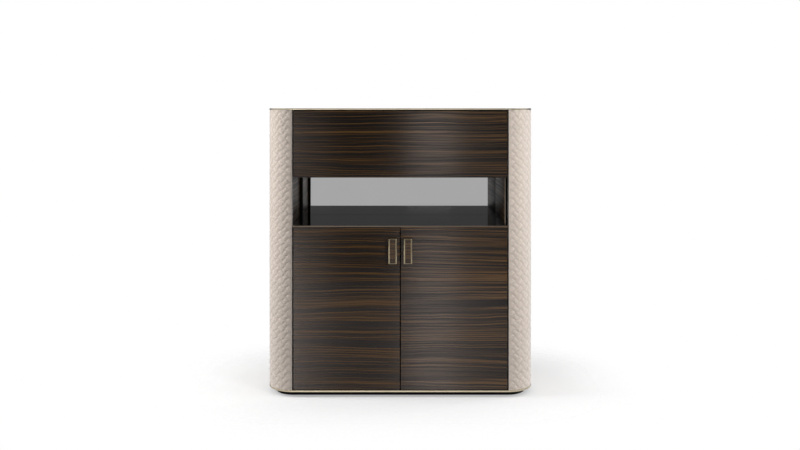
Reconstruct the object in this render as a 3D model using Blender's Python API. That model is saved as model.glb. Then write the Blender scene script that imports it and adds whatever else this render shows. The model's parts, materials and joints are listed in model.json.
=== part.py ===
"""Highboard with leather-clad round columns, two doors, an open mirrored niche and a lift-up flap.

Metres, +Z up. The origin is on the floor under the middle of the plan, and the front faces -Y.
Each door turns on a pin at its top and bottom outer corner, and the flap on a pin at each end.
"""

import math

import bmesh
import bpy
from mathutils import Matrix, Vector

# Overall sizes
WIDTH = 1.200
DEPTH = 0.430
HEIGHT = 1.290
CORNER_R = 0.118

# Clearances
GAP = 0.0003
SWING_CLEAR = 0.0008

# Base and top
GLIDE_R = 0.015
GLIDE_H = 0.001
GLIDE_FROM_END = 0.120
GLIDE_FROM_FRONT = 0.090
PLINTH_H = 0.0225
PLINTH_INSET = 0.033
BASE_BAND_H = 0.007
TOP_BAND_H = 0.006
BAND_T = 0.002

# Columns: a bent core with a leather skin turned over its two upright edges
SKIN_T = 0.0034
CORE_T = 0.0168
SKIN_EDGE_R = 0.004

# Carcass boards
BOARD_T = 0.018
SIDE_STEP = 0.012
BACK_SIDE_GAP = 0.004

# Niche
NICHE_FLOOR_Z = 0.766
NICHE_H = 0.215
NICHE_CEILING_STEP = 0.004
PLATE_T = 0.005
PLATE_SIDE_GAP = 0.0005
EDGE_STRIP_T = 0.0015
MIRROR_T = 0.004
MIRROR_SIDE_GAP = 0.002
LINER_T = 0.010
LINER_GAP = 0.0035
SPACER_SET_BACK = 0.030

# Doors and flap
DOOR_T = 0.022
DOOR_EDGE_R = 0.001
DOOR_MEETING_GAP = 0.004
DOOR_TOP_GAP = 0.0007
DOOR_PIVOT_IN = 0.007
DOOR_PIVOT_BACK = 0.008
FLAP_PIVOT_DROP = 0.007
FLAP_PIVOT_BACK = 0.009

# Pivot pins
PIN_R = 0.003
PIN_CLEAR = 0.0003
PIN_IN_DOOR = 0.015
PIN_IN_PLATE = 0.003
PIN_IN_BASE = 0.0035
PIN_IN_CORE = 0.012
COLLAR_R = 0.0055
COLLAR_T = 0.0026

# Handles
HANDLE_W = 0.0375
HANDLE_H = 0.112
HANDLE_T = 0.008
HANDLE_STANDOFF = 0.014
HANDLE_FROM_EDGE = 0.0132
HANDLE_FROM_TOP = 0.049
HANDLE_RAIL = 0.006
HANDLE_END_RAIL = 0.0025
HANDLE_RECESS = 0.003
POST_R = 0.0045
POST_FROM_END = 0.020

# Shelf and its pegs
SHELF_Z = 0.400
SHELF_T = 0.020
SHELF_SIDE_GAP = 0.001
SHELF_FRONT_STEP = 0.010
SHELF_BACK_STEP = 0.004
PEG_R = 0.0025
PEG_IN_SIDE = 0.009
PEG_OUT = 0.010
PEG_STEP = 0.064
PEG_FROM_MIDDLE = 0.120

# Catch, strikes and bumpers
CATCH_W = 0.046
CATCH_H = 0.012
CATCH_L = 0.026
STRIKE_W = 0.014
STRIKE_T = 0.0015
STRIKE_FROM_EDGE = 0.004
BUMPER_R = 0.005
BUMPER_FROM_END = 0.080

# Facets
CORNER_STEPS = 32
EDGE_STEPS = 4
ROUND_STEPS = 24

# Places that follow from the sizes
FRONT_Y = -DEPTH / 2
COLUMN_X = WIDTH / 2 - CORNER_R
ARC_Y = DEPTH / 2 - CORNER_R
CORE_OUT = SKIN_T + GAP
CORE_IN = CORE_OUT + CORE_T
SIDE_X = COLUMN_X + SIDE_STEP
SIDE_Y = ARC_Y + math.sqrt((CORNER_R - CORE_IN) ** 2 - (SIDE_STEP + BOARD_T) ** 2) - GAP
PLINTH_Z = GLIDE_H + GAP
BASE_Z = PLINTH_Z + PLINTH_H + GAP
BASE_TOP = BASE_Z + BASE_BAND_H
TOP_Z = HEIGHT - TOP_BAND_H
PLATE_Z = NICHE_FLOOR_Z - PLATE_T
NICHE_TOP = NICHE_FLOOR_Z + NICHE_H
CEILING_Z = NICHE_TOP + NICHE_CEILING_STEP
DOOR_BACK_SWEEP = DOOR_PIVOT_BACK + math.hypot(DOOR_PIVOT_IN, DOOR_T - DOOR_PIVOT_BACK)
FLAP_BACK_SWEEP = FLAP_PIVOT_BACK + math.hypot(FLAP_PIVOT_DROP, DOOR_T - FLAP_PIVOT_BACK)
CARCASS_FRONT = FRONT_Y + max(DOOR_BACK_SWEEP, FLAP_BACK_SWEEP) + SWING_CLEAR
DOOR_SIDE_GAP = math.hypot(DOOR_PIVOT_IN, DOOR_PIVOT_BACK) - DOOR_PIVOT_IN + SWING_CLEAR
FLAP_TOP_GAP = math.hypot(FLAP_PIVOT_DROP, FLAP_PIVOT_BACK) - FLAP_PIVOT_DROP + SWING_CLEAR
DOOR_X = COLUMN_X - DOOR_SIDE_GAP
DOOR_Z = BASE_TOP + GAP + COLLAR_T + GAP
DOOR_TOP = PLATE_Z - DOOR_TOP_GAP
DOOR_BACK = FRONT_Y + DOOR_T
FLAP_TOP = TOP_Z - FLAP_TOP_GAP
PIVOT_X = DOOR_X - DOOR_PIVOT_IN
PIVOT_Y = FRONT_Y + DOOR_PIVOT_BACK
FLAP_AXIS_Y = FRONT_Y + FLAP_PIVOT_BACK
FLAP_AXIS_Z = FLAP_TOP - FLAP_PIVOT_DROP


def linear(hex_colour):
    """Linear red, green, blue and alpha of a colour written as it looks on screen."""
    parts = [int(hex_colour[i : i + 2], 16) / 255 for i in (1, 3, 5)]
    return [p / 12.92 if p <= 0.04045 else ((p + 0.055) / 1.055) ** 2.4 for p in parts] + [1.0]


def finish(name, hex_colour, roughness, metallic=0.0):
    mat = bpy.data.materials.new(name)
    mat.use_nodes = True
    shader = mat.node_tree.nodes["Principled BSDF"]
    shader.inputs["Base Color"].default_value = linear(hex_colour)
    shader.inputs["Roughness"].default_value = roughness
    shader.inputs["Metallic"].default_value = metallic
    mat.diffuse_color = linear(hex_colour)
    return mat


def pivot_empty(name, location):
    """An empty on a joint's axis, which the pieces that turn about it are parented to."""
    empty = bpy.data.objects.new(name, None)
    empty.location = location
    bpy.context.scene.collection.objects.link(empty)
    return empty


def add_object(name, bm, mat, location, parent=None):
    bmesh.ops.recalc_face_normals(bm, faces=bm.faces)
    mesh = bpy.data.meshes.new(name)
    bm.to_mesh(mesh)
    bm.free()
    mesh.shade_smooth()
    mesh.set_sharp_from_angle(angle=math.radians(30))
    mesh.materials.append(mat)
    obj = bpy.data.objects.new(name, mesh)
    obj.location = location
    bpy.context.scene.collection.objects.link(obj)
    if parent:
        obj.parent = parent
        obj.matrix_parent_inverse = Matrix.Translation(-parent.location)
    return obj


def block(name, mat, x, y, z, parent=None):
    """A rectangular piece between the given limits."""
    limits = (x, y, z)
    size = [high - low for low, high in limits]
    bm = bmesh.new()
    bmesh.ops.create_cube(bm, size=1.0, matrix=Matrix.Diagonal((*size, 1.0)))
    return add_object(name, bm, mat, [(low + high) / 2 for low, high in limits], parent)


def ease(obj, radius):
    """Rounds every edge of a piece."""
    bevel = obj.modifiers.new("eased edges", "BEVEL")
    bevel.width = radius
    bevel.segments = 2


def extrusion(name, mat, outline, z):
    """A plan outline, drawn up from z[0] to z[1]."""
    bm = bmesh.new()
    face = bm.faces.new([bm.verts.new((x, y, 0.0)) for x, y in outline])
    raised = bmesh.ops.extrude_face_region(bm, geom=[face])["geom"]
    corners = [part for part in raised if isinstance(part, bmesh.types.BMVert)]
    bmesh.ops.translate(bm, verts=corners, vec=(0.0, 0.0, z[1] - z[0]))
    return add_object(name, bm, mat, (0.0, 0.0, z[0]))


def ring_extrusion(name, mat, outer, inner, z):
    """A closed band between two plan outlines of as many points."""
    bm = bmesh.new()
    loops = []
    for outline in (outer, inner):
        corners = [bm.verts.new((x, y, 0.0)) for x, y in outline]
        loops.append([bm.edges.new((a, b)) for a, b in zip(corners, corners[1:] + corners[:1])])
    flat = bmesh.ops.bridge_loops(bm, edges=loops[0] + loops[1])["faces"]
    raised = bmesh.ops.extrude_face_region(bm, geom=flat)["geom"]
    corners = [part for part in raised if isinstance(part, bmesh.types.BMVert)]
    bmesh.ops.translate(bm, verts=corners, vec=(0.0, 0.0, z[1] - z[0]))
    return add_object(name, bm, mat, (0.0, 0.0, z[0]))


def turned(name, mat, profile, location, axis=(0.0, 0.0, 1.0), parent=None):
    """A profile of radius and height, from the axis out and back to it, turned about the axis."""
    bm = bmesh.new()
    points = [bm.verts.new((radius, 0.0, height)) for radius, height in profile]
    lines = [bm.edges.new(pair) for pair in zip(points, points[1:])]
    bmesh.ops.spin(
        bm, geom=points + lines, cent=(0, 0, 0), axis=(0, 0, 1), angle=math.tau, steps=ROUND_STEPS, use_merge=True
    )
    bmesh.ops.remove_doubles(bm, verts=bm.verts, dist=1e-5)
    obj = add_object(name, bm, mat, location, parent)
    obj.rotation_euler = Vector((0.0, 0.0, 1.0)).rotation_difference(Vector(axis)).to_euler()
    return obj


def rod(name, mat, radius, start, end, parent=None):
    """A plain round piece from one point to another."""
    along = Vector(end) - Vector(start)
    profile = [(0.0, 0.0), (radius, 0.0), (radius, along.length), (0.0, along.length)]
    return turned(name, mat, profile, start, along.normalized(), parent)


def helper(obj):
    """Turns an object into a tool for Booleans, which isn't a piece itself."""
    obj.hide_render = True
    obj.display_type = "WIRE"
    return obj


def combine(obj, other, operation):
    boolean = obj.modifiers.new(other.name, "BOOLEAN")
    boolean.operation = operation
    boolean.object = other
    boolean.solver = "EXACT"


def round_rectangle(inset):
    """The plan's outline, drawn in from the outside by the inset."""
    radius = CORNER_R - inset
    outline = []
    for quarter, (sx, sy) in enumerate(((1, 1), (-1, 1), (-1, -1), (1, -1))):
        for step in range(CORNER_STEPS + 1):
            turn = math.radians(90) * (quarter + step / CORNER_STEPS)
            outline.append((sx * COLUMN_X + radius * math.cos(turn), sy * ARC_Y + radius * math.sin(turn)))
    return outline


def column_face(offset):
    """Half of the right column's plan at a depth below the leather's face, from its front edge to mid-depth."""
    radius = CORNER_R - offset
    edge_r = max(SKIN_EDGE_R - offset, GAP)
    start = math.asin((offset + edge_r) / radius)
    corner_x = COLUMN_X + offset + edge_r
    corner_y = -ARC_Y - radius * math.cos(start) + edge_r
    points = []
    for step in range(EDGE_STEPS):
        turn = math.radians(180 + 90 * step / EDGE_STEPS)
        points.append((corner_x + edge_r * math.cos(turn), corner_y + edge_r * math.sin(turn)))
    for step in range(CORNER_STEPS + 1):
        turn = start + (math.radians(90) - start) * step / CORNER_STEPS
        points.append((COLUMN_X + radius * math.sin(turn), -ARC_Y - radius * math.cos(turn)))
    return points


def column_inside(offset, edge_offset):
    """Half of the right column's hollow side, from behind its front edge to mid-depth."""
    radius = CORNER_R - offset
    start = math.asin(edge_offset / radius)
    points = []
    for step in range(CORNER_STEPS + 1):
        turn = start + (math.radians(90) - start) * step / CORNER_STEPS
        points.append((COLUMN_X + radius * math.sin(turn), -ARC_Y - radius * math.cos(turn)))
    return points


def whole(half):
    """A half plan and its mirror image behind it."""
    return half + [(x, -y) for x, y in reversed(half)]


def skin_outline():
    edge_end = FRONT_Y + CORE_IN
    outer = [(COLUMN_X, edge_end)] + column_face(0.0)
    inner = [(COLUMN_X + SKIN_T, edge_end)] + column_face(SKIN_T)
    return whole(outer) + whole(inner)[::-1]


def core_outline():
    outer = column_face(CORE_OUT)
    inner = column_inside(CORE_IN, CORE_OUT)
    return whole(outer) + whole(inner)[::-1]


def make_base():
    for name, x, y in (
        ("floor_glide_centre", 0.0, 0.0),
        ("floor_glide_front_left", GLIDE_FROM_END - WIDTH / 2, GLIDE_FROM_FRONT - DEPTH / 2),
        ("floor_glide_front_right", WIDTH / 2 - GLIDE_FROM_END, GLIDE_FROM_FRONT - DEPTH / 2),
        ("floor_glide_back_left", GLIDE_FROM_END - WIDTH / 2, DEPTH / 2 - GLIDE_FROM_FRONT),
        ("floor_glide_back_right", WIDTH / 2 - GLIDE_FROM_END, DEPTH / 2 - GLIDE_FROM_FRONT),
    ):
        rod(name, NYLON, GLIDE_R, (x, y, 0.0), (x, y, GLIDE_H))
    extrusion("plinth", BLACK, round_rectangle(PLINTH_INSET), (PLINTH_Z, PLINTH_Z + PLINTH_H))
    outer, inner = round_rectangle(0.0), round_rectangle(BAND_T)
    ring_extrusion("base_band", BRASS, outer, inner, (BASE_Z, BASE_TOP))
    base = extrusion("base_board", BLACK, round_rectangle(BAND_T + GAP), (BASE_Z, BASE_TOP))
    for side in (-1, 1):
        low = (side * PIVOT_X, PIVOT_Y, BASE_TOP - PIN_IN_BASE - GAP)
        high = (side * PIVOT_X, PIVOT_Y, BASE_TOP + COLLAR_T)
        hole = rod(f"base_pin_hole_{side}", STEEL, PIN_R + PIN_CLEAR, low, high)
        combine(base, helper(hole), "DIFFERENCE")


def make_top():
    outer, inner = round_rectangle(0.0), round_rectangle(BAND_T)
    ring_extrusion("top_band", BRASS, outer, inner, (TOP_Z, HEIGHT))
    extrusion("top_inlay", VENEER, round_rectangle(BAND_T + GAP), (TOP_Z, HEIGHT))


def make_columns():
    z = (BASE_TOP + GAP, TOP_Z - GAP)
    for side, hand in ((-1, "left"), (1, "right")):
        core = extrusion(f"{hand}_column_core", PLYWOOD, [(side * x, y) for x, y in core_outline()], z)
        skin = extrusion(f"{hand}_column_leather", LEATHER, [(side * x, y) for x, y in skin_outline()], z)
        start = (side * (COLUMN_X - DOOR_SIDE_GAP), FLAP_AXIS_Y, FLAP_AXIS_Z)
        end = (side * (COLUMN_X + CORE_OUT + PIN_IN_CORE + GAP), FLAP_AXIS_Y, FLAP_AXIS_Z)
        hole = helper(rod(f"{hand}_flap_pin_hole", STEEL, PIN_R + PIN_CLEAR, start, end))
        combine(core, hole, "DIFFERENCE")
        combine(skin, hole, "DIFFERENCE")


def make_carcass():
    inside = (-SIDE_X + GAP, SIDE_X - GAP)
    deep = (CARCASS_FRONT, SIDE_Y)
    for side, hand in ((-1, "left"), (1, "right")):
        x = sorted((side * SIDE_X, side * (SIDE_X + BOARD_T)))
        board = block(f"{hand}_side_board", VENEER, x, (-SIDE_Y, SIDE_Y), (BASE_TOP + GAP, TOP_Z - GAP))
        drill_peg_holes(board, side, hand)
    block("cabinet_floor", VENEER, inside, deep, (BASE_TOP + GAP, BASE_TOP + GAP + BOARD_T))
    block("niche_floor_board", VENEER, inside, deep, (PLATE_Z - GAP - BOARD_T, PLATE_Z - GAP))
    block("niche_ceiling", VENEER, inside, deep, (CEILING_Z, CEILING_Z + BOARD_T))
    block("carcass_top", VENEER, inside, deep, (TOP_Z - GAP - BOARD_T, TOP_Z - GAP))
    back_x = COLUMN_X - BACK_SIDE_GAP
    back_y = (SIDE_Y + GAP, SIDE_Y + GAP + BOARD_T)
    back = block("back_panel", VENEER, (-back_x, back_x), back_y, (BASE_TOP + GAP, TOP_Z - GAP))
    ease(back, DOOR_EDGE_R)


def drill_peg_holes(board, side, hand):
    for row, y in enumerate((-PEG_FROM_MIDDLE, PEG_FROM_MIDDLE)):
        for place in (-1, 0, 1):
            z = SHELF_Z - GAP - PEG_R + place * PEG_STEP
            start = (side * (SIDE_X - PEG_OUT), y, z)
            end = (side * (SIDE_X + PEG_IN_SIDE + GAP), y, z)
            hole = rod(f"{hand}_peg_hole_{row}_{place}", STEEL, PEG_R + PIN_CLEAR, start, end)
            combine(board, helper(hole), "DIFFERENCE")


def make_shelf():
    x = SIDE_X - SHELF_SIDE_GAP
    y = (CARCASS_FRONT + SHELF_FRONT_STEP, SIDE_Y - SHELF_BACK_STEP)
    shelf = block("shelf", VENEER, (-x, x), y, (SHELF_Z, SHELF_Z + SHELF_T))
    ease(shelf, DOOR_EDGE_R)
    for side, hand in ((-1, "left"), (1, "right")):
        for end, place in ((-1, "front"), (1, "back")):
            y = end * PEG_FROM_MIDDLE
            z = SHELF_Z - GAP - PEG_R
            inner = (side * (SIDE_X - PEG_OUT), y, z)
            outer = (side * (SIDE_X + PEG_IN_SIDE), y, z)
            rod(f"shelf_peg_{place}_{hand}", STEEL, PEG_R, inner, outer)


def make_niche():
    narrow = COLUMN_X - PLATE_SIDE_GAP
    wide = SIDE_X - GAP
    strip_back = FRONT_Y + EDGE_STRIP_T
    front = strip_back + GAP
    outline = [(narrow, front), (narrow, CARCASS_FRONT), (wide, CARCASS_FRONT), (wide, SIDE_Y)]
    outline += [(-x, y) for x, y in reversed(outline)]
    plate = extrusion("niche_plate", LACQUER, outline, (PLATE_Z, NICHE_FLOOR_Z))
    for side in (-1, 1):
        low = (side * PIVOT_X, PIVOT_Y, PLATE_Z - DOOR_TOP_GAP)
        high = (side * PIVOT_X, PIVOT_Y, PLATE_Z + PIN_IN_PLATE + GAP)
        hole = rod(f"plate_pin_hole_{side}", STEEL, PIN_R + PIN_CLEAR, low, high)
        combine(plate, helper(hole), "DIFFERENCE")
    block("niche_edge_strip", BRONZE, (-narrow, narrow), (FRONT_Y, strip_back), (PLATE_Z, NICHE_FLOOR_Z))
    mirror_x = COLUMN_X - MIRROR_SIDE_GAP
    inside = (NICHE_FLOOR_Z + GAP, CEILING_Z - GAP)
    block("niche_mirror", MIRROR, (-mirror_x, mirror_x), (SIDE_Y - MIRROR_T, SIDE_Y), inside)
    make_niche_liner(inside)


def make_niche_liner(z):
    """The lining board on the niche's right, on a spacer that leaves a shadow gap at its front."""
    back = SIDE_Y - MIRROR_T - GAP
    face = COLUMN_X - LINER_GAP - LINER_T
    block("niche_liner", VENEER, (face, face + LINER_T), (CARCASS_FRONT, back), z)
    x = (face + LINER_T + GAP, SIDE_X - GAP)
    block("niche_liner_spacer", BLACK, x, (CARCASS_FRONT + SPACER_SET_BACK, back), z)


def make_door(hand, side):
    axis = pivot_empty(f"{hand}_door_axis", (side * PIVOT_X, PIVOT_Y, 0.0))
    x = sorted((side * DOOR_MEETING_GAP / 2, side * DOOR_X))
    door = block(f"{hand}_door", VENEER, x, (FRONT_Y, DOOR_BACK), (DOOR_Z, DOOR_TOP), axis)
    ease(door, DOOR_EDGE_R)
    for place, low, high in (
        ("bottom", DOOR_Z - COLLAR_T, DOOR_Z + PIN_IN_DOOR + GAP),
        ("top", DOOR_TOP - PIN_IN_DOOR - GAP, DOOR_TOP + DOOR_TOP_GAP),
    ):
        start = (side * PIVOT_X, PIVOT_Y, low)
        end = (side * PIVOT_X, PIVOT_Y, high)
        hole = rod(f"{hand}_door_{place}_hole", STEEL, PIN_R + PIN_CLEAR, start, end, axis)
        combine(door, helper(hole), "DIFFERENCE")
    make_door_pins(hand, side, axis)
    make_handle(hand, side, axis)
    x = sorted(side * (DOOR_MEETING_GAP / 2 + STRIKE_FROM_EDGE + w) for w in (0.0, STRIKE_W))
    top = PLATE_Z - GAP - BOARD_T - GAP
    y = (DOOR_BACK + GAP, DOOR_BACK + GAP + STRIKE_T)
    block(f"{hand}_door_strike", STEEL, x, y, (top - CATCH_H, top), axis)


def make_door_pins(hand, side, axis):
    """The top pin is plain, and the bottom one carries the door on its collar."""
    top = (side * PIVOT_X, PIVOT_Y, DOOR_TOP - PIN_IN_DOOR)
    rod(f"{hand}_door_top_pin", STEEL, PIN_R, top, (*top[:2], PLATE_Z + PIN_IN_PLATE), axis)
    foot = BASE_TOP - PIN_IN_BASE
    collar = BASE_TOP + GAP - foot
    length = DOOR_Z + PIN_IN_DOOR - foot
    profile = [
        (0.0, 0.0),
        (PIN_R, 0.0),
        (PIN_R, collar),
        (COLLAR_R, collar),
        (COLLAR_R, collar + COLLAR_T),
        (PIN_R, collar + COLLAR_T),
        (PIN_R, length),
        (0.0, length),
    ]
    turned(f"{hand}_door_bottom_pin", STEEL, profile, (side * PIVOT_X, PIVOT_Y, foot), parent=axis)


def make_handle(hand, side, axis):
    """A brass tray on two posts, with a panel of the door's veneer let into its face."""
    near = DOOR_MEETING_GAP / 2 + HANDLE_FROM_EDGE
    x = sorted((side * near, side * (near + HANDLE_W)))
    top = DOOR_TOP - HANDLE_FROM_TOP
    z = (top - HANDLE_H, top)
    back = FRONT_Y - HANDLE_STANDOFF
    face = back - HANDLE_T
    tray = block(f"{hand}_handle_tray", BRASS, x, (face, back), z, axis)
    ease(tray, DOOR_EDGE_R)
    floor = face + HANDLE_RECESS
    hollow_x = (x[0] + HANDLE_RAIL, x[1] - HANDLE_RAIL)
    hollow_z = (z[0] + HANDLE_END_RAIL, z[1] - HANDLE_END_RAIL)
    hollow = block(f"{hand}_handle_hollow", BRASS, hollow_x, (face - HANDLE_T, floor), hollow_z, axis)
    combine(tray, helper(hollow), "DIFFERENCE")
    for place, height in (("low", z[0] + POST_FROM_END), ("high", z[1] - POST_FROM_END)):
        middle = (x[0] + x[1]) / 2
        root = (middle, FRONT_Y - GAP, height)
        tip = (middle, back - (HANDLE_T - HANDLE_RECESS) / 2, height)
        post = rod(f"{hand}_handle_post_{place}", BRASS, POST_R, root, tip, axis)
        combine(tray, helper(post), "UNION")
    inlay_x = (hollow_x[0] + GAP, hollow_x[1] - GAP)
    inlay_z = (hollow_z[0] + GAP, hollow_z[1] - GAP)
    block(f"{hand}_handle_inlay", VENEER, inlay_x, (face + GAP, floor - GAP), inlay_z, axis)


def make_catch():
    top = PLATE_Z - GAP - BOARD_T - GAP
    front = DOOR_BACK + GAP + STRIKE_T + GAP
    y = (front, front + CATCH_L)
    catch = block("magnetic_catch", NYLON, (-CATCH_W / 2, CATCH_W / 2), y, (top - CATCH_H, top))
    ease(catch, DOOR_EDGE_R)


def make_flap():
    axis = pivot_empty("flap_axis", (0.0, FLAP_AXIS_Y, FLAP_AXIS_Z))
    flap = block("flap", VENEER, (-DOOR_X, DOOR_X), (FRONT_Y, DOOR_BACK), (NICHE_TOP, FLAP_TOP), axis)
    ease(flap, DOOR_EDGE_R)
    for side, hand in ((-1, "left"), (1, "right")):
        inner = (side * (DOOR_X - PIN_IN_DOOR), FLAP_AXIS_Y, FLAP_AXIS_Z)
        outer = (side * (COLUMN_X + CORE_OUT + PIN_IN_CORE), FLAP_AXIS_Y, FLAP_AXIS_Z)
        rod(f"{hand}_flap_pin", STEEL, PIN_R, inner, outer, axis)
        start = (side * (DOOR_X - PIN_IN_DOOR - GAP), FLAP_AXIS_Y, FLAP_AXIS_Z)
        end = (side * (DOOR_X + DOOR_SIDE_GAP), FLAP_AXIS_Y, FLAP_AXIS_Z)
        hole = rod(f"flap_hole_{hand}", STEEL, PIN_R + PIN_CLEAR, start, end, axis)
        combine(flap, helper(hole), "DIFFERENCE")
        x = side * (DOOR_X - BUMPER_FROM_END)
        z = CEILING_Z + BOARD_T / 2
        rod(f"{hand}_flap_bumper", NYLON, BUMPER_R, (x, DOOR_BACK + GAP, z), (x, CARCASS_FRONT - GAP, z))


for old in list(bpy.data.objects):
    bpy.data.objects.remove(old, do_unlink=True)

VENEER = finish("ebony_veneer", "#382F2A", 0.35)
LEATHER = finish("greige_leather", "#C4B6A8", 0.55)
BRASS = finish("champagne_brass", "#CDBE9B", 0.30, 1.0)
BRONZE = finish("bronze", "#8A7B66", 0.35, 1.0)
LACQUER = finish("gloss_black_lacquer", "#0A0A0A", 0.08)
BLACK = finish("black_board", "#0C0B0B", 0.45)
MIRROR = finish("mirror_glass", "#B5B7B8", 0.02, 1.0)
PLYWOOD = finish("bent_plywood", "#B4946C", 0.60)
STEEL = finish("steel", "#B9BABB", 0.30, 1.0)
NYLON = finish("black_nylon", "#1A1A1A", 0.50)

make_base()
make_top()
make_columns()
make_carcass()
make_shelf()
make_niche()
make_door("left", -1)
make_door("right", 1)
make_catch()
make_flap()
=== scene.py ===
"""Dresses the highboard: woven leather columns, ebony veneer, brass, a mirrored niche, a floor, lights and a camera."""

import json
import math

import bpy
import numpy as np

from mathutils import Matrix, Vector

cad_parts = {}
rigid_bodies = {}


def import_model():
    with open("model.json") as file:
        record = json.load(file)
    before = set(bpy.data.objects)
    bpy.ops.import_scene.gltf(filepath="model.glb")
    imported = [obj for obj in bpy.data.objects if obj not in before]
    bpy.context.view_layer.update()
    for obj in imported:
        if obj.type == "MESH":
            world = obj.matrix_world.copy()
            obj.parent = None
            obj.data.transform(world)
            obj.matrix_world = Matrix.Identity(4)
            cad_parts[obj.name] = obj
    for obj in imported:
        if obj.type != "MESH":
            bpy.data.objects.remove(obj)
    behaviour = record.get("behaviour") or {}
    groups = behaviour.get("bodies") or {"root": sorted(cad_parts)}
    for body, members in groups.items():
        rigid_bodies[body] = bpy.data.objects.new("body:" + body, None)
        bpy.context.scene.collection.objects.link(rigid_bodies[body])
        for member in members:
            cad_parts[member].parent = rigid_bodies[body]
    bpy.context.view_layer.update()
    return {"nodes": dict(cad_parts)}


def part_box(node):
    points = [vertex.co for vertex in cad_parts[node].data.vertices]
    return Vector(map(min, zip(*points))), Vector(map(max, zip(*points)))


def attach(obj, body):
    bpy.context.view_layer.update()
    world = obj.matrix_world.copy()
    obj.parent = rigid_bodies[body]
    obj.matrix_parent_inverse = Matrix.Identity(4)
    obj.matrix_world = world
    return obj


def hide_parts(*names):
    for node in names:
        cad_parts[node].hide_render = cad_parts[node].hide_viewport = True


for leftover in list(bpy.data.objects):
    bpy.data.objects.remove(leftover)
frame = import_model()
nodes = frame["nodes"]
bpy.ops.object.select_all(action="DESELECT")


# Floor glides, plinth and base board
# Five turned nylon glides carry a recessed plinth of black-stained board.
# The base board above it is the same board, sprayed matt black on all sides.
def linear(hex_colour):
    """An sRGB hex colour as linear RGBA."""
    parts = [int(hex_colour[i : i + 2], 16) / 255 for i in (1, 3, 5)]
    return (*(c / 12.92 if c <= 0.04045 else ((c + 0.055) / 1.055) ** 2.4 for c in parts), 1.0)


def material(name):
    """A new node material: the material, its node tree and its shader."""
    made = bpy.data.materials.new(name)
    made.use_nodes = True
    return made, made.node_tree, made.node_tree.nodes["Principled BSDF"]


def fill(tree, node, inputs):
    """Fills a node's inputs. A socket is linked; any other value is set."""
    for key, value in inputs.items():
        if isinstance(value, bpy.types.NodeSocket):
            tree.links.new(value, node.inputs[key])
        else:
            node.inputs[key].default_value = value


def add(tree, kind, inputs, **settings):
    """Adds one node, with its settings and its inputs."""
    made = tree.nodes.new(kind)
    for name, value in settings.items():
        setattr(made, name, value)
    fill(tree, made, inputs)
    return made


def two_tones(tree, value, dark, light, start=0.0, end=1.0):
    """The colour that runs from a dark to a light hex colour as a value runs from start to end."""
    ramp = add(tree, "ShaderNodeValToRGB", {"Fac": value})
    first, last = ramp.color_ramp.elements
    first.position, first.color = start, linear(dark)
    last.position, last.color = end, linear(light)
    return ramp.outputs["Color"]


def paint(mat, *names):
    """Gives CAD nodes a material in place of the plain one."""
    for name in names:
        nodes[name].data.materials[0] = mat


# Matt black spray lacquer on board: a slight orange peel of about 2 mm, duller where it is thin. It also serves as
# painted shade on the carcass top and the front of the niche lining.
black_lacquer_and_shade, tree, shader = material("matt_black_lacquer_and_painted_shade")
place = add(tree, "ShaderNodeTexCoord", {}).outputs["Object"]
peel = add(tree, "ShaderNodeTexNoise", {"Vector": place, "Scale": 450.0, "Detail": 2.0})
cloud = add(tree, "ShaderNodeTexNoise", {"Vector": place, "Scale": 9.0, "Detail": 3.0})
dull = add(tree, "ShaderNodeMapRange", {"Value": cloud.outputs["Fac"], "To Min": 0.42, "To Max": 0.58})
orange = add(tree, "ShaderNodeBump", {"Height": peel.outputs["Fac"], "Strength": 0.15, "Distance": 0.0002})
fill(tree, shader, {
    "Base Color": two_tones(tree, cloud.outputs["Fac"], "#0C0B0A", "#131110"),
    "Roughness": dull.outputs["Result"],
    "Specular IOR Level": 0.03,
    "Normal": orange.outputs["Normal"],
})
# The carcass top is sprayed black as painted shade, so that the gap below the top band reads dark.
paint(black_lacquer_and_shade, "plinth", "base_board", "niche_liner_spacer", "carcass_top")

# Black nylon, turned: fine mould texture, a little worn.
nylon, tree, shader = material("black_nylon")
place = add(tree, "ShaderNodeTexCoord", {}).outputs["Object"]
grit = add(tree, "ShaderNodeTexNoise", {"Vector": place, "Scale": 1800.0, "Detail": 2.0})
worn = add(tree, "ShaderNodeMapRange", {"Value": grit.outputs["Fac"], "To Min": 0.45, "To Max": 0.65})
pits = add(tree, "ShaderNodeBump", {"Height": grit.outputs["Fac"], "Strength": 0.3, "Distance": 0.0001})
fill(tree, shader, {
    "Base Color": linear("#24221F"),
    "Roughness": worn.outputs["Result"],
    "Normal": pits.outputs["Normal"],
})
paint(nylon, *("floor_glide_" + spot for spot in ("centre", "front_left", "front_right", "back_left", "back_right")))
paint(nylon, "left_flap_bumper", "right_flap_bumper", "magnetic_catch")


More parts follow.
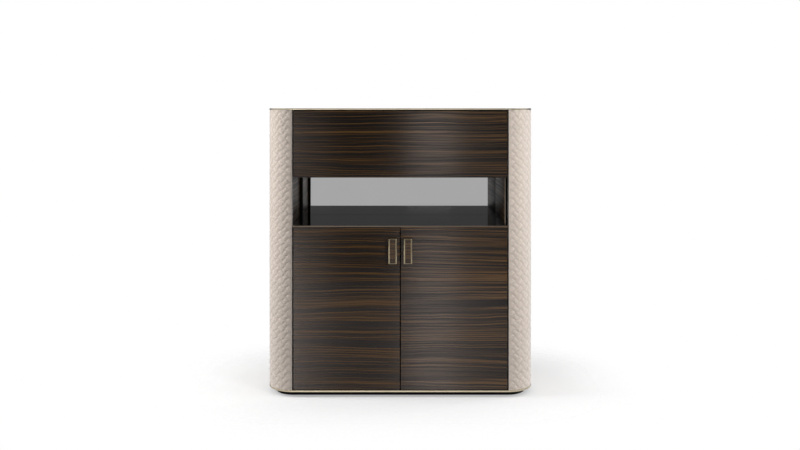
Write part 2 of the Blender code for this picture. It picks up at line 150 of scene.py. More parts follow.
# Brass bands
# Two hoops of 2 mm champagne brass strip, bent round the base and the top.
# They are brushed along their length, with both edges broken by 0.5 mm.
def finished_copy(name, new_name, smooth_deg, edge_mm):
    """A copy of a CAD node with its seams merged, its round parts smooth and its sharp edges broken."""
    bpy.ops.object.select_all(action="DESELECT")
    made = nodes[name].copy()
    made.data = nodes[name].data.copy()
    made.name = made.data.name = new_name
    for key in [k for k in made.keys() if k.startswith("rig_")]:
        del made[key]
    made.parent = None
    made.hide_viewport = made.hide_render = False
    bpy.context.scene.collection.objects.link(made)
    made.select_set(True)
    bpy.context.view_layer.objects.active = made
    bpy.ops.object.mode_set(mode="EDIT")
    bpy.ops.mesh.select_all(action="SELECT")
    bpy.ops.mesh.customdata_custom_splitnormals_clear()
    bpy.ops.mesh.remove_doubles(threshold=0.00001)
    bpy.ops.mesh.dissolve_limited(angle_limit=math.radians(0.05))
    bpy.ops.mesh.mark_sharp(clear=True)
    bpy.ops.mesh.faces_shade_smooth()
    bpy.ops.object.mode_set(mode="OBJECT")
    if edge_mm:
        broken = made.modifiers.new("broken_edges", "BEVEL")
        broken.width, broken.segments = edge_mm / 1000, 2
        broken.limit_method, broken.angle_limit = "ANGLE", math.radians(50)
        bpy.ops.object.modifier_apply(modifier=broken.name)
    bpy.ops.object.shade_smooth_by_angle(angle=math.radians(smooth_deg))
    made.select_set(False)
    return made


def brushed_brass(name, hairs, patches, dark, light, least_dull, most_dull, depth):
    """Brushed brass. hairs and patches are the scales of its hairlines and tarnish, and depth is the brushing's."""
    made, tree, shader = material(name)
    place = add(tree, "ShaderNodeTexCoord", {}).outputs["Object"]
    lines = add(tree, "ShaderNodeMapping", {"Vector": place, "Scale": hairs})
    hair = add(tree, "ShaderNodeTexNoise", {"Vector": lines.outputs["Vector"], "Scale": 1.0, "Detail": 3.0})
    patch = add(tree, "ShaderNodeTexNoise", {"Vector": place, "Scale": patches, "Detail": 4.0})
    dull = add(tree, "ShaderNodeMapRange", {"Value": hair.outputs["Fac"], "To Min": least_dull, "To Max": most_dull})
    brush = add(tree, "ShaderNodeBump", {"Height": hair.outputs["Fac"], "Strength": depth, "Distance": 0.00005})
    fill(tree, shader, {
        "Base Color": two_tones(tree, patch.outputs["Fac"], dark, light, 0.3, 0.7),
        "Metallic": 1.0,
        "Roughness": dull.outputs["Result"],
        "Normal": brush.outputs["Normal"],
    })
    return made


# Champagne brass, brushed level: hairlines 0.3 mm apart, and slow patches of tarnish.
# The base hoop is duller from wear.
for name, dark, light, worn in (("base_band", "#B0A48C", "#BBB09A", 0.44), ("top_band", "#AA9F88", "#B5AB95", 0.24)):
    hoop = finished_copy(name, name + "_hoop", 30, 0.5)
    hoop.data.materials[0] = brushed_brass(
        "brushed_champagne_brass_" + name, (25.0, 25.0, 3500.0), 14.0, dark, light, worn, worn + 0.12, 0.12
    )
    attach(hoop, "cabinet")
    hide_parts(name)

# Column cores
# Each column is bent from 17 mm birch plywood, which only shows in the gaps at its edges.
# Its long cut edges are stained dark before the leather is laid.
plywood, tree, shader = material("stained_birch_plywood")
place = add(tree, "ShaderNodeTexCoord", {}).outputs["Object"]
fibre = add(tree, "ShaderNodeMapping", {"Vector": place, "Scale": (300.0, 300.0, 8.0)})
grain = add(tree, "ShaderNodeTexNoise", {"Vector": fibre.outputs["Vector"], "Scale": 1.0, "Detail": 4.0})
ridge = add(tree, "ShaderNodeBump", {"Height": grain.outputs["Fac"], "Strength": 0.3, "Distance": 0.0002})
fill(tree, shader, {
    "Base Color": two_tones(tree, grain.outputs["Fac"], "#3A2E25", "#5E4B3B"),
    "Roughness": 0.7,
    "Normal": ridge.outputs["Normal"],
})
paint(plywood, "left_column_core", "right_column_core")


# Woven leather on the columns
# Strips of greige calf leather, 25 mm wide and 2 mm thick, are plaited on the bias and glued to the core.
# The cut ends run under the brass bands above and below, and under a smooth binding at each upright edge.
def points_of(mesh):
    """The places of a mesh's points, one row for each."""
    flat = np.empty(len(mesh.vertices) * 3)
    mesh.vertices.foreach_get("co", flat)
    return flat.reshape(-1, 3)


# The cloth: width of a strip, how deep it dives, its stretch round the column, the turned-down lip and the binding.
strip, relief, spread, lip_depth, binding = 0.025, 0.0022, 1.17, 0.0033, 0.0052
# The column: the radius of its corners and the place of their centres.
radius, arc_x, arc_y = 0.118, 0.482, 0.097
quarter, side = radius * math.pi / 2, 2 * arc_y
round_trip = 2 * quarter + side
low_z, high_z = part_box("left_column_leather")[0].z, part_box("left_column_leather")[1].z
middle_u, middle_v = round_trip / 2, (low_z + high_z) / 2
# The grid: an even number of strips each way, steps in each, and how far they draw together at its edges.
cells = math.ceil((round_trip / spread + high_z - low_z) / math.sqrt(2) / strip / 2 + 1) * 2
steps, pinch = 8, 0.8
# How steeply a strip dives at its ends, how far its edges drop, the painted shade that sets the strips of one way
# lighter than the other, and their random tone.
dive, edge_drop, painted_lean, vary = 1.6, 0.55, 0.6, 0.5
tones = np.random.default_rng(11).normal(0.0, 1.0, (2, cells + 4))
for hand, outward in (("left", -1), ("right", 1)):
    bpy.ops.object.select_all(action="DESELECT")
    bpy.ops.mesh.primitive_grid_add(x_subdivisions=cells * steps, y_subdivisions=cells * steps, size=cells * strip)
    weave = bpy.context.object
    weave.name = weave.data.name = hand + "_woven_leather"
    # The grid lines draw together at the strips' edges, and the cloth turns onto the bias.
    flat = points_of(weave.data)
    grid = np.round(flat[:, :2] / strip * steps) / steps
    inside = grid - np.floor(grid) - 0.5
    eased = np.floor(grid) + 0.5 + pinch * 0.5 * np.sin(np.pi * inside) + (1 - pinch) * inside
    turned = np.column_stack([eased[:, 0] - eased[:, 1], eased[:, 0] + eased[:, 1]]) * strip / math.sqrt(2)
    flat[:, 0], flat[:, 1], flat[:, 2] = turned[:, 0] * spread + middle_u, turned[:, 1] + middle_v, 0.0
    weave.data.vertices.foreach_set("co", flat.ravel())
    # It is cut to the board along the four borders, and gets a turned-down lip all round.
    bpy.ops.object.mode_set(mode="EDIT")
    for where, way in (
        ((binding, 0, 0), (-1, 0, 0)),
        ((round_trip - binding, 0, 0), (1, 0, 0)),
        ((0, low_z, 0), (0, -1, 0)),
        ((0, high_z, 0), (0, 1, 0)),
    ):
        bpy.ops.mesh.select_all(action="SELECT")
        bpy.ops.mesh.bisect(plane_co=where, plane_no=way, clear_outer=True, use_fill=False)
    bpy.ops.mesh.select_all(action="SELECT")
    bpy.ops.mesh.remove_doubles(threshold=0.00001)
    bpy.ops.mesh.select_all(action="DESELECT")
    bpy.ops.mesh.select_mode(type="EDGE")
    bpy.ops.mesh.select_non_manifold()
    bpy.ops.mesh.extrude_edges_move(TRANSFORM_OT_translate={"value": (0, 0, -lip_depth)})
    bpy.ops.object.mode_set(mode="OBJECT")
    # Each cell shows the strip that lies on top: it arches along its length and dives under at both ends.
    flat = points_of(weave.data)
    u, v, lip = flat[:, 0], flat[:, 1], flat[:, 2] < -0.3 * lip_depth
    s = ((u - middle_u) / spread + (v - middle_v)) / math.sqrt(2) / strip
    t = ((v - middle_v) - (u - middle_u) / spread) / math.sqrt(2) / strip
    i, j = np.floor(s).astype(int), np.floor(t).astype(int)
    along, across = s - i - 0.5, t - j - 0.5
    swap = (i + j) % 2 == 1
    along, across = np.where(swap, across, along), np.where(swap, along, across)
    arch = np.cos(np.pi * np.clip(along, -0.5, 0.5)) ** dive
    crown = 1 - edge_drop * np.abs(2 * np.clip(across, -0.5, 0.5)) ** 4
    rise = np.clip(arch * crown, 0, 1)
    # The flat cloth is laid round the column, from the front corner over the side to the rear corner.
    r = radius + np.where(lip, -lip_depth, (rise - 1) * relief)
    front, back = u < quarter, u > quarter + side
    a = np.where(front, u / radius, np.where(back, (u - quarter - side) / radius, 0.0))
    x = np.where(front, arc_x + r * np.sin(a), np.where(back, arc_x + r * np.cos(a), arc_x + r))
    y = np.where(front, -arc_y - r * np.cos(a), np.where(back, arc_y + r * np.sin(a), u - quarter - arc_y))
    weave.data.vertices.foreach_set("co", np.column_stack([outward * x, y, v]).ravel())
    if hand == "left":
        weave.data.flip_normals()
    # Strips running one way are painted lighter and those running the other way darker, as painted shade; the rest of
    # each strip's tone differs at random.
    tone_and_shade_of = np.where(swap, painted_lean + vary * tones[0][j % (cells + 4)], -painted_lean + vary * tones[1][i % (cells + 4)])
    for name, values in (("strip_tone_and_shade", tone_and_shade_of), ("strip_rise", rise)):
        weave.data.attributes.new(name, "FLOAT", "POINT").data.foreach_set("value", values.astype(np.float32))
    weave.data.update()
    bpy.ops.object.shade_smooth_by_angle(angle=math.radians(65))
    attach(weave, "cabinet")
    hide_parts(hand + "_column_leather")

    # The binding is one strip of the same leather at each upright edge, glued round the edge of the core.
    edge = finished_copy(hand + "_column_leather", hand + "_edge_binding", 40, 0)
    bpy.context.view_layer.objects.active = edge
    edge.select_set(True)
    bpy.ops.object.mode_set(mode="EDIT")
    bpy.ops.mesh.select_all(action="SELECT")
    bpy.ops.mesh.bisect(
        plane_co=(outward * (arc_x + binding), 0, 0), plane_no=(outward, 0, 0), clear_outer=True, use_fill=True
    )
    bpy.ops.object.mode_set(mode="OBJECT")
    bpy.ops.object.shade_smooth_by_angle(angle=math.radians(40))
    edge.select_set(False)
    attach(edge, "cabinet")


def calf(name):
    """Calf leather, still without colour and bump: material, tree, shader, 1.2 mm pebbles and 6 mm clouds."""
    made, tree, shader = material(name)
    place = add(tree, "ShaderNodeTexCoord", {}).outputs["Object"]
    pebble = add(tree, "ShaderNodeTexVoronoi", {"Vector": place, "Scale": 850.0}, feature="DISTANCE_TO_EDGE")
    hide = add(tree, "ShaderNodeTexNoise", {"Vector": place, "Scale": 160.0, "Detail": 4.0})
    dull = add(tree, "ShaderNodeMapRange", {"Value": hide.outputs["Fac"], "To Min": 0.46, "To Max": 0.6})
    fill(tree, shader, {
        "Roughness": dull.outputs["Result"],
        "Specular IOR Level": 0.5,
        "Sheen Weight": 1.0,
        "Sheen Roughness": 0.4,
        "Coat Weight": 0.15,
        "Coat Roughness": 0.5,
    })
    return made, tree, shader, pebble.outputs["Distance"], hide.outputs["Fac"]


def multiplied(tree, colour, value):
    """A colour made darker by a value."""
    mixed = add(tree, "ShaderNodeMix", {0: 1.0, 6: colour, 7: value}, data_type="RGBA", blend_type="MULTIPLY")
    return mixed.outputs[2]


# Greige calf leather: strips that differ a little in tone at random, painted lighter on one way of the weave than the
# other, and painted darker where they dive under their neighbours, both as painted shade.
leather, tree, shader, pebble, hide = calf("greige_calf_leather")
strip_tone_and_shade = add(tree, "ShaderNodeAttribute", {}, attribute_name="strip_tone_and_shade").outputs["Fac"]
strip_rise = add(tree, "ShaderNodeAttribute", {}, attribute_name="strip_rise").outputs["Fac"]
shade = add(tree, "ShaderNodeMath", {0: strip_tone_and_shade, 1: 0.06, 2: hide}, operation="MULTIPLY_ADD")
tone = two_tones(tree, shade.outputs["Value"], "#A99D92", "#C0B4AA", 0.2, 0.8)
# Painted shade: each strip is darkened where it sinks towards the creases at its ends and edges.
painted_crease_shade = add(tree, "ShaderNodeMapRange", {"Value": strip_rise, "From Max": 0.55, "To Min": 0.88})
height = add(tree, "ShaderNodeMath", {0: pebble, 1: 2.0, 2: hide}, operation="MULTIPLY_ADD")
skin = add(tree, "ShaderNodeBump", {"Height": height.outputs["Value"], "Strength": 0.35, "Distance": 0.0003})
fill(tree, shader, {
    "Base Color": multiplied(tree, tone, painted_crease_shade.outputs["Result"]),
    "Normal": skin.outputs["Normal"],
})

# The binding is the same hide, without strips.
# Its turned edge is painted dark for 2 mm, where it faces the doors and the back, as painted shade of the gap beside
# it.
plain_leather, tree, shader, pebble, hide = calf("greige_calf_binding")
tone = two_tones(tree, hide, "#ACA196", "#BFB4AA", 0.2, 0.8)
place = add(tree, "ShaderNodeTexCoord", {}).outputs["Object"]
across = add(tree, "ShaderNodeSeparateXYZ", {"Vector": place}).outputs["X"]
across = add(tree, "ShaderNodeMath", {0: across}, operation="ABSOLUTE").outputs["Value"]
gap_shade_from, gap_shade_to = arc_x + 0.0013, arc_x + 0.0027
gap_shade = add(tree, "ShaderNodeMapRange", {"Value": across, "From Min": gap_shade_from, "From Max": gap_shade_to, "To Min": 0.08})
skin = add(tree, "ShaderNodeBump", {"Height": pebble, "Strength": 0.3, "Distance": 0.0004})
fill(tree, shader, {
    "Base Color": multiplied(tree, tone, gap_shade.outputs["Result"]),
    "Normal": skin.outputs["Normal"],
})
for hand in ("left", "right"):
    bpy.data.objects[hand + "_woven_leather"].data.materials.append(leather)
    bpy.data.objects[hand + "_edge_binding"].data.materials[0] = plain_leather


# Carcass boards, shelf and back
# Veneered boards in dark, level-grained ebony: sides, floors, ceiling, top, back panel and one loose shelf.
# Each board is faced with its own leaves, laid with the grain along its length and finished with satin oil.
def ebony(name, turn, shift, dullness, depth=0.0, gloss=0.2, soft=1.0):
    """Dark ebony veneer.

    turn brings the grain onto X and the width of the leaf onto Z, and shift picks the leaf.
    dullness is the oil's roughness, and gloss its specular level.
    depth darkens the leaf, and soft spreads the tones of its lines.
    """
    made, tree, shader = material(name)
    place = add(tree, "ShaderNodeTexCoord", {}).outputs["Object"]
    leaf = add(tree, "ShaderNodeMapping", {"Vector": place, "Rotation": turn, "Location": shift}).outputs["Vector"]
    # The rings wander by about ten millimetres over half a metre.
    slow = add(tree, "ShaderNodeMapping", {"Vector": leaf, "Scale": (2.2, 0.3, 5.0)}).outputs["Vector"]
    drift = add(tree, "ShaderNodeTexNoise", {"Vector": slow, "Scale": 1.0, "Detail": 3.0, "Roughness": 0.45})
    wander = add(tree, "ShaderNodeMath", {0: drift.outputs["Fac"], 1: 0.032, 2: -0.016}, operation="MULTIPLY_ADD")
    lift = add(tree, "ShaderNodeCombineXYZ", {"Z": wander.outputs["Value"]}).outputs["Vector"]
    bent = add(tree, "ShaderNodeVectorMath", {0: leaf, 1: lift}, operation="ADD").outputs["Vector"]
    # Bands of about 90 mm, then streaks of 19 mm and lines of 10 mm, each with its share over those before it.
    lines = None
    for scale, share in (((0.3, 0.2, 22.0), 1.0), ((0.7, 0.4, 105.0), 0.58), ((1.3, 0.8, 190.0), 0.66)):
        drawn = add(tree, "ShaderNodeMapping", {"Vector": bent, "Scale": scale}).outputs["Vector"]
        layer = add(tree, "ShaderNodeTexNoise", {"Vector": drawn, "Scale": 1.0, "Detail": 1.0}).outputs["Fac"]
        if lines:
            layer = add(tree, "ShaderNodeMix", {"Factor": share, "A": lines, "B": layer}).outputs["Result"]
        lines = layer
    tone = add(tree, "ShaderNodeValToRGB", {"Fac": lines})
    ramp = tone.color_ramp.elements
    ramp[0].position, ramp[0].color = 0.5 - 0.10 * soft + depth, linear("#080707")
    ramp[1].position, ramp[1].color = 0.5 + 0.11 * soft + depth, linear("#533C23")
    for stop, hex_colour in ((-0.05, "#120E0B"), (-0.01, "#221911"), (0.03, "#302316"), (0.07, "#402E1B")):
        ramp.new(0.5 + stop * soft + depth).color = linear(hex_colour)
    # Short open pores, 0.4 mm wide, cut through the oil, which is duller on the dark lines.
    pores = add(tree, "ShaderNodeMapping", {"Vector": bent, "Scale": (35.0, 8.0, 1500.0)}).outputs["Vector"]
    pore = add(tree, "ShaderNodeTexNoise", {"Vector": pores, "Scale": 1.0, "Detail": 2.0, "Roughness": 0.6})
    grooves = add(tree, "ShaderNodeBump", {"Height": pore.outputs["Fac"], "Strength": 0.5, "Distance": 0.00005})
    oil = {"From Min": 0.35, "From Max": 0.65, "To Min": dullness + 0.07, "To Max": dullness - 0.05}
    dull = add(tree, "ShaderNodeMapRange", {"Value": lines, **oil})
    fill(tree, shader, {
        "Base Color": tone.outputs["Color"],
        "Roughness": dull.outputs["Result"],
        "Specular IOR Level": gloss,
        "Specular Tint": linear("#FFF2ED"),
        "Normal": grooves.outputs["Normal"],
    })
    return made


flat_on, level, upright = (0, 0, 0), (math.pi / 2, 0, 0), (0, 0, math.pi / 2)
board_veneer = ebony("ebony_veneer_level_boards", level, (0.4, 0.0, 0.9), 0.4, -0.02)
paint(board_veneer, "cabinet_floor", "niche_floor_board", "niche_ceiling", "shelf")
paint(ebony("ebony_veneer_left_side", upright, (0.0, 0.0, 2.3), 0.4, -0.012, 0.32), "left_side_board")
right_veneer = ebony("ebony_veneer_right_side", upright, (0.6, 0.0, 3.9), 0.45, -0.02, 0.055)
paint(right_veneer, "right_side_board")
paint(ebony("ebony_veneer_back", flat_on, (0.0, 0.0, 5.1), 0.3, -0.02), "back_panel")
paint(ebony("ebony_veneer_top", level, (1.7, 0.0, 3.3), 0.3, -0.005, soft=1.2), "top_inlay")


def bar(name, middle, size, rounding, segments):
    """A straight bar round a middle point, with rounded edges. It stays selected."""
    bpy.ops.object.select_all(action="DESELECT")
    bpy.ops.mesh.primitive_cube_add(size=1, location=middle)
    made = bpy.context.object
    made.name = made.data.name = name
    made.scale = size
    bpy.ops.object.transform_apply(location=True, rotation=True, scale=True)
    bpy.ops.object.mode_set(mode="EDIT")
    bpy.ops.mesh.select_all(action="SELECT")
    bpy.ops.mesh.bevel(offset=rounding, segments=segments, affect="EDGES")
    bpy.ops.object.mode_set(mode="OBJECT")
    bpy.ops.object.shade_smooth_by_angle(angle=math.radians(35))
    return made


# A black lipping fills the joint between each upright edge of the back panel and the column beside it.
# Such fillets are 0.4 mm narrower than the joint that they fill.
play, lipping_deep = 0.0004, 0.012
panel_low, panel_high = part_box("back_panel")
column_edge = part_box("right_column_leather")[0].x
lipping = bar(
    "right_back_lipping",
    ((panel_high.x + column_edge) / 2, (panel_low.y + panel_high.y) / 2, (panel_low.z + panel_high.z) / 2),
    (column_edge - panel_high.x - play, lipping_deep, panel_high.z - panel_low.z),
    rounding=0.0006,
    segments=2,
)
lipping.data.materials.append(black_lacquer_and_shade)
bpy.ops.object.duplicate(linked=False)
bpy.context.object.name = bpy.context.object.data.name = "left_back_lipping"
bpy.ops.transform.translate(value=(-panel_high.x - column_edge, 0, 0))
bpy.ops.object.transform_apply(location=True, rotation=True, scale=True)
for hand in ("left", "right"):
    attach(bpy.data.objects[hand + "_back_lipping"], "cabinet")

# Niche
# A black lacquered glass plate lies on the niche floor, with a thin bronze strip along its front edge.
# A smoked mirror stands against the back, held by the boards round it.
lacquer, tree, shader = material("black_lacquered_glass")
place = add(tree, "ShaderNodeTexCoord", {}).outputs["Object"]
film = add(tree, "ShaderNodeTexNoise", {"Vector": place, "Scale": 18.0, "Detail": 5.0})
dull = add(tree, "ShaderNodeMapRange", {"Value": film.outputs["Fac"], "To Min": 0.04, "To Max": 0.07})
fill(tree, shader, {
    "Base Color": two_tones(tree, film.outputs["Fac"], "#0B0B0C", "#121213"),
    "Roughness": dull.outputs["Result"],
    "Specular IOR Level": 0.5,
})
paint(lacquer, "niche_plate")

# Smoked mirror glass: silvered, with the faintest cloud in its tint.
mirror, tree, shader = material("smoked_mirror")
place = add(tree, "ShaderNodeTexCoord", {}).outputs["Object"]
cloud = add(tree, "ShaderNodeTexNoise", {"Vector": place, "Scale": 6.0, "Detail": 3.0})
fill(tree, shader, {
    "Base Color": two_tones(tree, cloud.outputs["Fac"], "#A4A4A4", "#A8A8A8"),
    "Metallic": 1.0,
    "Roughness": 0.015,
})
paint(mirror, "niche_mirror")

# A black trim closes the joint between the left end of the mirror and the side board.
# It stands 2 mm proud of the 4 mm glass.
mirror_low, mirror_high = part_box("niche_mirror")
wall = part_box("left_side_board")[1].x
trim_deep, trim_y = 0.0058, mirror_high.y - 0.003
trim = bar(
    "mirror_trim",
    ((wall + mirror_low.x) / 2, trim_y, (mirror_low.z + mirror_high.z) / 2),
    (mirror_low.x - wall - play, trim_deep, mirror_high.z - mirror_low.z),
    rounding=0.0008,
    segments=3,
)
trim.data.materials.append(black_lacquer_and_shade)
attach(trim, "cabinet")

# The lining board on the right is black on its front edge, as painted shade of the gap beside the column, and a lip of
# lighter walnut, 4 by 1 mm, along its inner corner paints the highlight of its lit edge.
lining = finished_copy("niche_liner", "niche_lining_board", 30, 0.3)
lining.data.materials[0] = right_veneer
lining.data.materials.append(black_lacquer_and_shade)
# Painted shade: the faces that look to the front take the black.
for face in lining.data.polygons:
    face.material_index = 1 if face.normal.y < -0.9 else 0
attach(lining, "cabinet")
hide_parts("niche_liner")
lining_low, lining_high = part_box("niche_liner")
lip_wide, lip_thick = 0.004, 0.001
lip = bar(
    "niche_lining_lip",
    (lining_low.x + lip_wide / 2, lining_low.y - lip_thick / 2, (lining_low.z + lining_high.z) / 2),
    (lip_wide, lip_thick, lining_high.z - lining_low.z),
    rounding=0.0003,
    segments=2,
)
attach(lip, "cabinet")
# Oiled walnut, lighter than the ebony as a painted highlight: upright pores of about 1 mm.
walnut_highlight, tree, shader = material("oiled_walnut_painted_highlight")
place = add(tree, "ShaderNodeTexCoord", {}).outputs["Object"]
fibre = add(tree, "ShaderNodeMapping", {"Vector": place, "Scale": (900.0, 900.0, 30.0)})
grain = add(tree, "ShaderNodeTexNoise", {"Vector": fibre.outputs["Vector"], "Scale": 1.0, "Detail": 3.0})
fill(tree, shader, {
    "Base Color": two_tones(tree, grain.outputs["Fac"], "#4A4036", "#66594B"),
    "Roughness": 0.45,
})
lip.data.materials.append(walnut_highlight)

# Dark bronze strip, brushed along its length.
bronze, tree, shader = material("brushed_bronze")
place = add(tree, "ShaderNodeTexCoord", {}).outputs["Object"]
lines = add(tree, "ShaderNodeMapping", {"Vector": place, "Scale": (20.0, 1500.0, 2500.0)})
hair = add(tree, "ShaderNodeTexNoise", {"Vector": lines.outputs["Vector"], "Scale": 1.0, "Detail": 3.0})
dull = add(tree, "ShaderNodeMapRange", {"Value": hair.outputs["Fac"], "To Min": 0.3, "To Max": 0.45})
fill(tree, shader, {
    "Base Color": two_tones(tree, hair.outputs["Fac"], "#493F36", "#5F554B"),
    "Metallic": 1.0,
    "Roughness": dull.outputs["Result"],
})
paint(bronze, "niche_edge_strip")

# Doors and flap
# Three veneered leaves hung on pivots, each faced with its own leaf of ebony with the grain running level.
# Their edges are lipped and eased, so that only a thin shadow parts them.
paint(ebony("ebony_veneer_left_door", flat_on, (3.7, 0.0, 41.7), 0.12, -0.002, soft=0.82), "left_door")
paint(ebony("ebony_veneer_right_door", flat_on, (2.9, 0.0, 11.3), 0.12, -0.006, soft=0.98), "right_door")
# The flap's leaf is set a little darker than the doors', as painted shade against the extra light it takes from the top
# lamp and the key.
paint(ebony("ebony_veneer_flap", flat_on, (5.1, 0.0, 14.9), 0.12, 0.008, soft=1.12), "flap")

# Handles
# A shallow brass tray stands off each door on two posts, with a tile of ebony let into its recess.
# The brass is darker than the bands, brushed upright, and its rims are broken by 0.4 mm.
handle_brass = brushed_brass("aged_brass", (2500.0, 2500.0, 30.0), 60.0, "#766C57", "#827762", 0.28, 0.42, 0.25)
for hand in ("left", "right"):
    tray = finished_copy(hand + "_handle_tray", hand + "_handle_frame", 30, 0.4)
    tray.data.materials[0] = handle_brass
    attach(tray, hand + "_door")
    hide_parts(hand + "_handle_tray")
tile_veneer = ebony("ebony_veneer_handle", flat_on, (9.3, 0.0, 17.1), 0.25, -0.03)
paint(tile_veneer, "left_handle_inlay", "right_handle_inlay")

# Pivots, pegs, strikes and screws
# Turned and stamped steel hardware: the pins are blackened, and the pegs, strikes and screws are nickel plated.
# Each handle is held by two flat-headed screws that show on the back of its door.
steels = []
for name, dark, light in (("black_oxide_steel", "#1A1918", "#262422"), ("nickel_plated_steel", "#8F8E8B", "#A8A7A3")):
    # Fine grinding marks of about 1.5 mm, a little duller in places.
    steel, tree, shader = material(name)
    place = add(tree, "ShaderNodeTexCoord", {}).outputs["Object"]
    grind = add(tree, "ShaderNodeTexNoise", {"Vector": place, "Scale": 700.0, "Detail": 4.0})
    dull = add(tree, "ShaderNodeMapRange", {"Value": grind.outputs["Fac"], "To Min": 0.25, "To Max": 0.4})
    fill(tree, shader, {
        "Base Color": two_tones(tree, grind.outputs["Fac"], dark, light),
        "Metallic": 1.0,
        "Roughness": dull.outputs["Result"],
    })
    steels.append(steel)
black_steel, nickel = steels
for hand in ("left", "right"):
    paint(black_steel, hand + "_door_top_pin", hand + "_door_bottom_pin", hand + "_flap_pin")
    paint(nickel, hand + "_door_strike", "shelf_peg_front_" + hand, "shelf_peg_back_" + hand)
# One screw is turned, with a rounded rim and a crossed slot, and copied to the other posts, 20 mm from the trays' ends.
head_radius, head_thick, rim, slot_long, slot_wide, post_in = 0.0045, 0.0010, 0.0006, 0.0050, 0.0009, 0.020
tray_low, tray_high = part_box("right_handle_tray")
posts_x = abs(tray_low.x + tray_high.x) / 2
door_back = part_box("right_door")[1].y
spots = [
    (hand, spot, x, z)
    for hand, x in (("left", -posts_x), ("right", posts_x))
    for spot, z in (("lower", tray_low.z + post_in), ("upper", tray_high.z - post_in))
]
first_x, first_z = spots[0][2:]
bpy.ops.object.select_all(action="DESELECT")
bpy.ops.mesh.primitive_cylinder_add(
    vertices=40,
    radius=head_radius,
    depth=head_thick,
    location=(first_x, door_back + head_thick / 2, first_z),
    rotation=(-math.pi / 2, 0, 0),
)
screw = bpy.context.object
bpy.ops.object.transform_apply(location=True, rotation=True, scale=True)
domed = screw.modifiers.new("rim", "BEVEL")
domed.width, domed.segments, domed.limit_method, domed.angle_limit = rim, 3, "ANGLE", math.radians(40)
bpy.ops.object.modifier_apply(modifier=domed.name)
for turn in (0, math.pi / 2):
    bpy.ops.mesh.primitive_cube_add(size=1, location=(first_x, door_back + head_thick, first_z), rotation=(0, turn, 0))
    cutter = bpy.context.object
    cutter.scale = (slot_long, head_thick, slot_wide)
    slotted = screw.modifiers.new("slot", "BOOLEAN")
    slotted.object, slotted.operation = cutter, "DIFFERENCE"
    bpy.context.view_layer.objects.active = screw
    bpy.ops.object.modifier_apply(modifier=slotted.name)
    bpy.data.objects.remove(cutter)
screw.select_set(True)
bpy.ops.object.shade_smooth_by_angle(angle=math.radians(35))
screw.data.materials.append(nickel)
screws = [screw]
for hand, spot, x, z in spots[1:]:
    bpy.ops.object.select_all(action="DESELECT")
    screw.select_set(True)
    bpy.context.view_layer.objects.active = screw
    bpy.ops.object.duplicate(linked=False)
    bpy.ops.transform.translate(value=(x - first_x, 0, z - first_z))
    bpy.ops.object.transform_apply(location=True, rotation=True, scale=True)
    screws.append(bpy.context.object)
for made, (hand, spot, x, z) in zip(screws, spots):
    made.name = made.data.name = f"{hand}_handle_screw_{spot}"
    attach(made, hand + "_door")

# Floor
# A plain pale paper floor that fades into the white surround half a metre from the object and keeps its shadow.
# The fronts mirror the cards and strips of the studio behind the camera, and not the paper.
bpy.ops.object.select_all(action="DESELECT")
bpy.ops.mesh.primitive_plane_add(size=6, location=(0, 0, 0))
floor = bpy.context.object
floor.name = "floor"
floor.visible_glossy = floor.visible_shadow = False
paper, tree, shader = material("white_studio_paper")
place = add(tree, "ShaderNodeTexCoord", {}).outputs["Object"]
tooth = add(tree, "ShaderNodeTexNoise", {"Vector": place, "Scale": 3.0, "Detail": 2.0})
# The paper fades with the distance from a rectangle under the object.
under, fade_from, fade_to = (0.5, 0.12, 0.0), 0.13, 0.64
far = add(tree, "ShaderNodeVectorMath", {0: place}, operation="ABSOLUTE").outputs["Vector"]
far = add(tree, "ShaderNodeVectorMath", {0: far, 1: under}, operation="SUBTRACT").outputs["Vector"]
far = add(tree, "ShaderNodeVectorMath", {0: far, 1: (0.0, 0.0, 0.0)}, operation="MAXIMUM").outputs["Vector"]
far = add(tree, "ShaderNodeVectorMath", {0: far}, operation="LENGTH").outputs["Value"]
reach = {"From Min": fade_from, "From Max": fade_to, "To Min": 1.0, "To Max": 0.0}
fade = add(tree, "ShaderNodeMapRange", {"Value": far, **reach}, interpolation_type="SMOOTHSTEP")
path = add(tree, "ShaderNodeLightPath", {})
glow = add(tree, "ShaderNodeMath", {0: path.outputs["Is Camera Ray"], 1: 0.35}, operation="MULTIPLY")
fill(tree, shader, {
    "Base Color": two_tones(tree, tooth.outputs["Fac"], "#B0B0B0", "#B3B3B3"),
    "Roughness": 0.9,
    "Specular IOR Level": 0.0,
    "Emission Color": (1, 1, 1, 1),
    "Emission Strength": glow.outputs["Value"],
    "Alpha": fade.outputs["Result"],
})
floor.data.materials.append(paper)

# Studio
# A white surround, cards behind the camera that the fronts and the niche reflect, and soft lamps.
# The cards and strips leave a slot at the height where the niche mirror looks out, so that it shows the plain surround.
world = bpy.data.worlds.new("white_studio")
bpy.context.scene.world = world
world.use_nodes = True
tree = world.node_tree
path = add(tree, "ShaderNodeLightPath", {}).outputs
white = add(tree, "ShaderNodeMath", {0: path["Is Camera Ray"], 1: path["Is Glossy Ray"]}, operation="MAXIMUM")
white = add(tree, "ShaderNodeMath", {0: white.outputs[0], 1: path["Is Transmission Ray"]}, operation="MAXIMUM")
strength = add(tree, "ShaderNodeMapRange", {"Value": white.outputs[0], "To Min": 0.08, "To Max": 1.0})
fill(tree, tree.nodes["Background"], {"Color": (1, 1, 1, 1), "Strength": strength.outputs["Result"]})


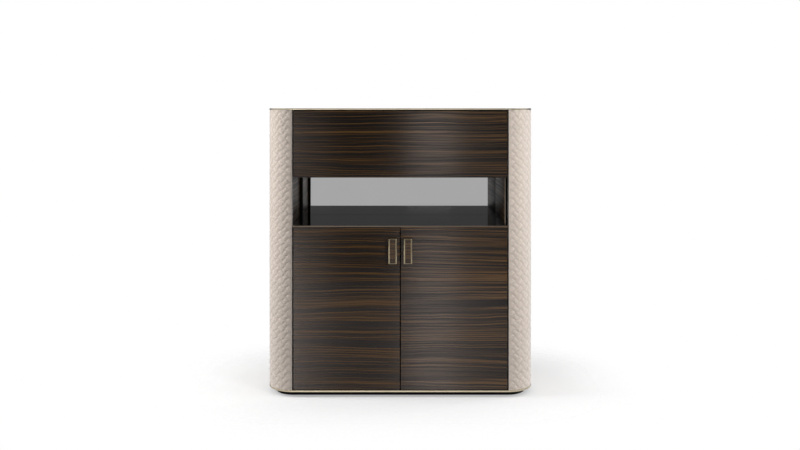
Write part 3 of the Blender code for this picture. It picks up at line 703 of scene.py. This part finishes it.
def screen(name, cloth, place, turn, size, glow):
    """A flat board of the studio with an even glow, which lights nothing and is only seen in reflections."""
    bpy.ops.mesh.primitive_plane_add(size=1, location=place, rotation=turn)
    made = bpy.context.object
    made.name = name
    made.scale = size
    made.visible_camera = made.visible_diffuse = False
    board, tree, shader = material(name + cloth)
    fill(tree, shader, {
        "Base Color": (0, 0, 0, 1),
        "Specular IOR Level": 0.0,
        "Emission Color": (1, 1, 1, 1),
        "Emission Strength": glow,
    })
    made.data.materials.append(board)
    return made


card_y = -6.6
for name, low_edge, high_edge, wide, glow in (
    ("lowest_card", -3.6, -0.75, 6.0, 1.0),
    ("low_card", -0.75, -0.09, 6.0, 0.05),
    ("middle_card", 0.44, 1.38, 10.0, 0.05),
    ("high_card", 1.38, 4.6, 10.0, 0.2),
):
    middle = (0, card_y, (low_edge + high_edge) / 2)
    screen(name, "_grey_board", middle, (math.pi / 2, 0, 0), (wide, high_edge - low_edge, 1), glow)

# Two black flags stand behind the ends of the top, and draw the dark ends of its band.
flag_tall, flag_long = 1.6, 12
for name, x, front in (("left_flag", -1.6, 0.45), ("right_flag", 1.6, 0.2)):
    middle = (x, front + flag_long / 2, 1.29)
    flag = screen(name, "_black_cloth", middle, (0, math.pi / 2, 0), (flag_tall, flag_long, 1), 0.0)
    flag.visible_shadow = False


def softbox(name, place, aim, wide, tall, watts):
    """A soft area lamp at a place, turned towards a point."""
    lamp = bpy.data.lights.new(name, "AREA")
    lamp.shape, lamp.size, lamp.size_y, lamp.energy = "RECTANGLE", wide, tall, watts
    made = bpy.data.objects.new(name, lamp)
    bpy.context.scene.collection.objects.link(made)
    made.location = place
    made.visible_camera = False
    made.rotation_euler = (Vector(aim) - Vector(place)).to_track_quat("-Z", "Y").to_euler()
    return made


# Upright strips in front of the cards draw the soft bright bands on the veneer.
strip_y = -6.3
for spot, x, wide, upper, lower in (
    ("right", 0.37, 0.55, 7.4, 18.4),
    ("left", -1.6, 0.55, 8.2, 38.0),
    ("inner", -1.1, 0.5, 1.6, 6.2),
    ("outer", 0.95, 0.6, 1.4, 4.4),
):
    for part, z, tall, watts in (("upper", 0.8975, 0.865, upper), ("lower", -1.23, 2.35, lower)):
        lamp = softbox(f"strip_{spot}_{part}", (x, strip_y, z), (x, 0, z), wide, tall, watts)
        lamp.visible_diffuse = False

# The key and the side lamps light the object, and don't show in it.
for name, stand, aim, wide, tall, watts in (
    ("key_right", (1.1, -1.65, 1.1), (0.2, 0, 0.85), 0.45, 1.9, 25.0),
    ("side_right", (2.6, -0.05, 1.4), (0, 0, 0.9), 1.8, 3.0, 68.0),
    ("side_left", (-2.6, -0.3, 1.4), (0, 0, 0.9), 0.8, 1.8, 90.0),
):
    softbox(name, stand, aim, wide, tall, watts).visible_glossy = False
softbox("top", (0, -0.35, 3.6), (0, -0.2, 0), 3.2, 3.2, 64.0)

# Camera
# Level, straight on, at the height of the top, as the photograph was taken.
# The lens is shifted down, so that the uprights stay parallel.
lens = bpy.data.cameras.new("camera")
lens.sensor_width, lens.lens = 36.0, 38.7
lens.shift_x, lens.shift_y = -0.0004, -0.145
camera = bpy.data.objects.new("camera", lens)
bpy.context.scene.collection.objects.link(camera)
camera.location = (0, -4.051, 1.287)
camera.rotation_euler = (math.pi / 2, 0, 0)
bpy.context.scene.camera = camera
bpy.context.scene.view_settings.view_transform = "Standard"
